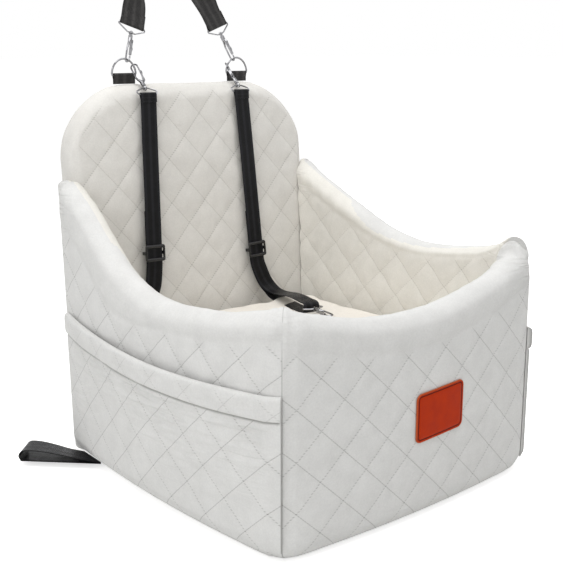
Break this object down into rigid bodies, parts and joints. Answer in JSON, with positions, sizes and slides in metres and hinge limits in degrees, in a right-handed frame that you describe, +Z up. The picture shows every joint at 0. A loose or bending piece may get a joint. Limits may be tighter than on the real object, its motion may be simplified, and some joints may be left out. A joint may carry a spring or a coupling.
{
  "type": "dog car seat",
  "caption": "Padded booster tub for a small dog in a car, with a raised back, side pockets, a headrest strap on snap hooks and safety tethers clipped to the back's rings.",
  "frame": {"origin": "middle of the floor panel's underside, the face the seat stands on", "axes": "+Z up, the longest extent; -Y towards the low front wall with the patch; the shortest extent along Y; X across, with the left side at -X as seen from the front"},
  "size_m": [0.6474, 0.6012, 0.764],
  "materials": {
    "fabric": "quilted woven cloth, off-white, matt",
    "cushion_fabric": "plain woven cloth, off-white, matt",
    "foam": "soft open foam, never seen",
    "leather": "rust-orange imitation leather with a pressed border",
    "webbing": "black satin webbing",
    "ribbed_webbing": "grey-black webbing with fine ribs",
    "chrome": "bright plated steel and zinc",
    "black_plastic": "moulded black plastic, half matt"
  },
  "bodies": {
    "seat": {"back_panel_cover": "fabric", "back_panel_foam": "foam", "booster_block": "foam", "floor_panel": "fabric", "front_wall_cover": "fabric", "front_wall_foam": "foam", "leather_patch": "leather", "left_anchor_loop": "webbing", "left_pocket": "fabric", "left_ring_tab": "webbing", "left_wall_cover": "fabric", "left_wall_foam": "foam", "right_anchor_loop": "webbing", "right_pocket": "fabric", "right_ring_tab": "webbing", "right_wall_cover": "fabric", "right_wall_foam": "foam", "seat_cushion_cover": "cushion_fabric", "seat_cushion_filling": "foam"},
    "left_ring": {"left_d_ring": "chrome"},
    "right_ring": {"right_d_ring": "chrome"},
    "headrest_loop": {"headrest_strap": "ribbed_webbing", "left_headrest_hook_eye": "chrome", "right_headrest_hook_eye": "chrome"},
    "left_headrest_hook": {"left_headrest_hook_body": "chrome", "left_headrest_hook_gate_pin": "chrome"},
    "left_headrest_gate": {"left_headrest_hook_gate": "chrome"},
    "right_headrest_hook": {"right_headrest_hook_body": "chrome", "right_headrest_hook_gate_pin": "chrome"},
    "right_headrest_gate": {"right_headrest_hook_gate": "chrome"},
    "left_tether": {"left_tether_strap": "webbing", "left_tether_upper_hook_eye": "chrome", "left_tether_lower_hook_eye": "chrome"},
    "left_tether_upper_hook": {"left_tether_upper_hook_body": "chrome", "left_tether_upper_hook_gate_pin": "chrome"},
    "left_tether_upper_gate": {"left_tether_upper_hook_gate": "chrome"},
    "left_tether_lower_hook": {"left_tether_lower_hook_body": "chrome", "left_tether_lower_hook_gate_pin": "chrome"},
    "left_tether_lower_gate": {"left_tether_lower_hook_gate": "chrome"},
    "left_tether_slider": {"left_tether_slider": "black_plastic"},
    "right_tether": {"right_tether_strap": "webbing", "right_tether_upper_hook_eye": "chrome", "right_tether_lower_hook_eye": "chrome"},
    "right_tether_upper_hook": {"right_tether_upper_hook_body": "chrome", "right_tether_upper_hook_gate_pin": "chrome"},
    "right_tether_upper_gate": {"right_tether_upper_hook_gate": "chrome"},
    "right_tether_lower_hook": {"right_tether_lower_hook_body": "chrome", "right_tether_lower_hook_gate_pin": "chrome"},
    "right_tether_lower_gate": {"right_tether_lower_hook_gate": "chrome"},
    "right_tether_slider": {"right_tether_slider": "black_plastic"}
  },
  "joints": [
    {"name": "left_ring_tip", "type": "hinge", "parent": "seat", "child": "left_ring", "pos_m": [-0.104, 0.2565, 0.543], "axis": [-1, 0, 0], "range_deg": [0, 30]},
    {"name": "right_ring_tip", "type": "hinge", "parent": "seat", "child": "right_ring", "pos_m": [0.104, 0.2565, 0.543], "axis": [-1, 0, 0], "range_deg": [0, 30]},
    {"name": "headrest_loop_swing", "type": "hinge", "parent": "left_ring", "child": "headrest_loop", "pos_m": [-0.09699, 0.2565, 0.56515], "axis": [1, 0, 0], "range_deg": [-60, 40]},
    {"name": "left_headrest_hook_swivel", "type": "hinge", "parent": "headrest_loop", "child": "left_headrest_hook", "pos_m": [-0.08245, 0.26798, 0.60341], "axis": [0.342, 0.27, 0.9001], "range_deg": [-20, 20]},
    {"name": "left_headrest_gate_press", "type": "hinge", "parent": "left_headrest_hook", "child": "left_headrest_gate", "pos_m": [-0.08687, 0.26012, 0.59178], "axis": [0.9348, 0, -0.3552], "range_deg": [0, 18], "stiffness_Nm_per_rad": 0.02},
    {"name": "right_headrest_hook_swivel", "type": "hinge", "parent": "headrest_loop", "child": "right_headrest_hook", "pos_m": [0.08245, 0.26798, 0.60341], "axis": [-0.342, 0.27, 0.9001], "range_deg": [-20, 20]},
    {"name": "right_headrest_gate_press", "type": "hinge", "parent": "right_headrest_hook", "child": "right_headrest_gate", "pos_m": [0.08687, 0.26012, 0.59178], "axis": [0.9348, 0, 0.3552], "range_deg": [0, 18], "stiffness_Nm_per_rad": 0.02},
    {"name": "left_tether_swing", "type": "hinge", "parent": "left_ring", "child": "left_tether", "pos_m": [-0.0859, 0.2565, 0.55407], "axis": [-1, 0, 0], "range_deg": [0, 45]},
    {"name": "left_tether_upper_hook_swivel", "type": "hinge", "parent": "left_tether", "child": "left_tether_upper_hook", "pos_m": [-0.0859, 0.22868, 0.5245], "axis": [0, -0.6852, -0.7283], "range_deg": [-15, 2]},
    {"name": "left_tether_upper_gate_press", "type": "hinge", "parent": "left_tether_upper_hook", "child": "left_tether_upper_gate", "pos_m": [-0.08258, 0.23647, 0.53653], "axis": [-0.613, -0.5754, 0.5414], "range_deg": [0, 18], "stiffness_Nm_per_rad": 0.02},
    {"name": "left_tether_lower_hook_swivel", "type": "hinge", "parent": "left_tether", "child": "left_tether_lower_hook", "pos_m": [-0.0988, 0.05747, 0.1935], "axis": [-0.1736, 0.9848, 0], "continuous": true},
    {"name": "left_tether_lower_gate_press", "type": "hinge", "parent": "left_tether_lower_hook", "child": "left_tether_lower_gate", "pos_m": [-0.10049, 0.04286, 0.1935], "axis": [0, 0, 1], "range_deg": [0, 18], "stiffness_Nm_per_rad": 0.02},
    {"name": "left_tether_slider_slide", "type": "slide", "parent": "left_tether", "child": "left_tether_slider", "axis": [0.0454, 0.0923, 0.9947], "range_m": [-0.004, 0.055]},
    {"name": "right_tether_swing", "type": "hinge", "parent": "right_ring", "child": "right_tether", "pos_m": [0.0859, 0.2565, 0.55407], "axis": [-1, 0, 0], "range_deg": [0, 45]},
    {"name": "right_tether_upper_hook_swivel", "type": "hinge", "parent": "right_tether", "child": "right_tether_upper_hook", "pos_m": [0.0859, 0.22868, 0.5245], "axis": [0, -0.6852, -0.7283], "range_deg": [-2, 15]},
    {"name": "right_tether_upper_gate_press", "type": "hinge", "parent": "right_tether_upper_hook", "child": "right_tether_upper_gate", "pos_m": [0.08258, 0.23647, 0.53653], "axis": [-0.613, 0.5754, -0.5414], "range_deg": [0, 18], "stiffness_Nm_per_rad": 0.02},
    {"name": "right_tether_lower_hook_swivel", "type": "hinge", "parent": "right_tether", "child": "right_tether_lower_hook", "pos_m": [0.0988, 0.05747, 0.1935], "axis": [0.1736, 0.9848, 0], "continuous": true},
    {"name": "right_tether_lower_gate_press", "type": "hinge", "parent": "right_tether_lower_hook", "child": "right_tether_lower_gate", "pos_m": [0.09222, 0.04432, 0.1935], "axis": [0, 0, 1], "range_deg": [0, 18], "stiffness_Nm_per_rad": 0.02},
    {"name": "right_tether_slider_slide", "type": "slide", "parent": "right_tether", "child": "right_tether_slider", "axis": [-0.0422, 0.0895, 0.9951], "range_m": [-0.004, 0.055]}
  ],
  "couplings": [
    {"joint": "right_ring_tip", "follows": "left_ring_tip", "ratio": 1}
  ]
}
